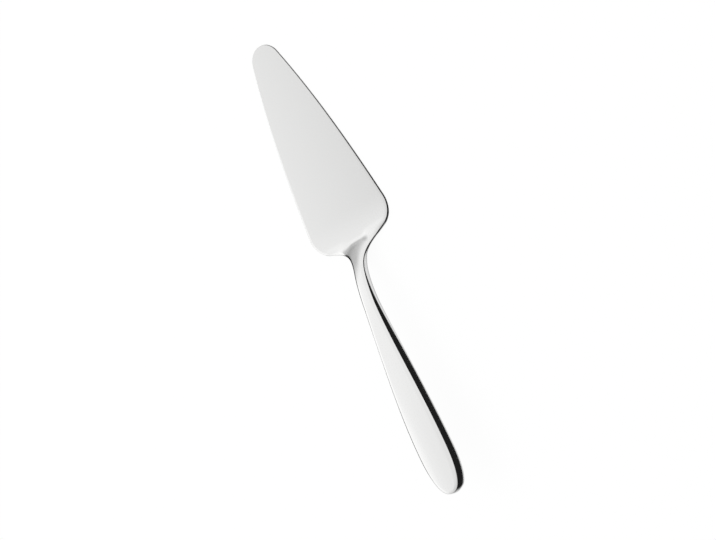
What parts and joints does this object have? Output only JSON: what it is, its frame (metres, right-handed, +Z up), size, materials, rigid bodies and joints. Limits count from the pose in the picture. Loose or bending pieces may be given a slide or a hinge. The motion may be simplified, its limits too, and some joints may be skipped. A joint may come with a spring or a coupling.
{
  "type": "cake server",
  "caption": "Cake server of stainless steel: a thin flat wedge-shaped blade with a rounded nose, cranked up at a narrow neck into a solid teardrop handle.",
  "frame": {"origin": "on the plane of the blade's underside, below the middle of the overall length, on the plane of symmetry", "axes": "+X from the tip of the blade to the end of the handle, +Y across the blade, +Z up, square to the blade"},
  "size_m": [0.2516, 0.0574, 0.0264],
  "materials": {
    "blade_steel": "polished stainless steel with a faint haze from use, thin and flat",
    "handle_steel": "mirror-polished stainless steel"
  },
  "bodies": {
    "root": {"blade": "blade_steel", "handle": "handle_steel"}
  },
  "joints": []
}
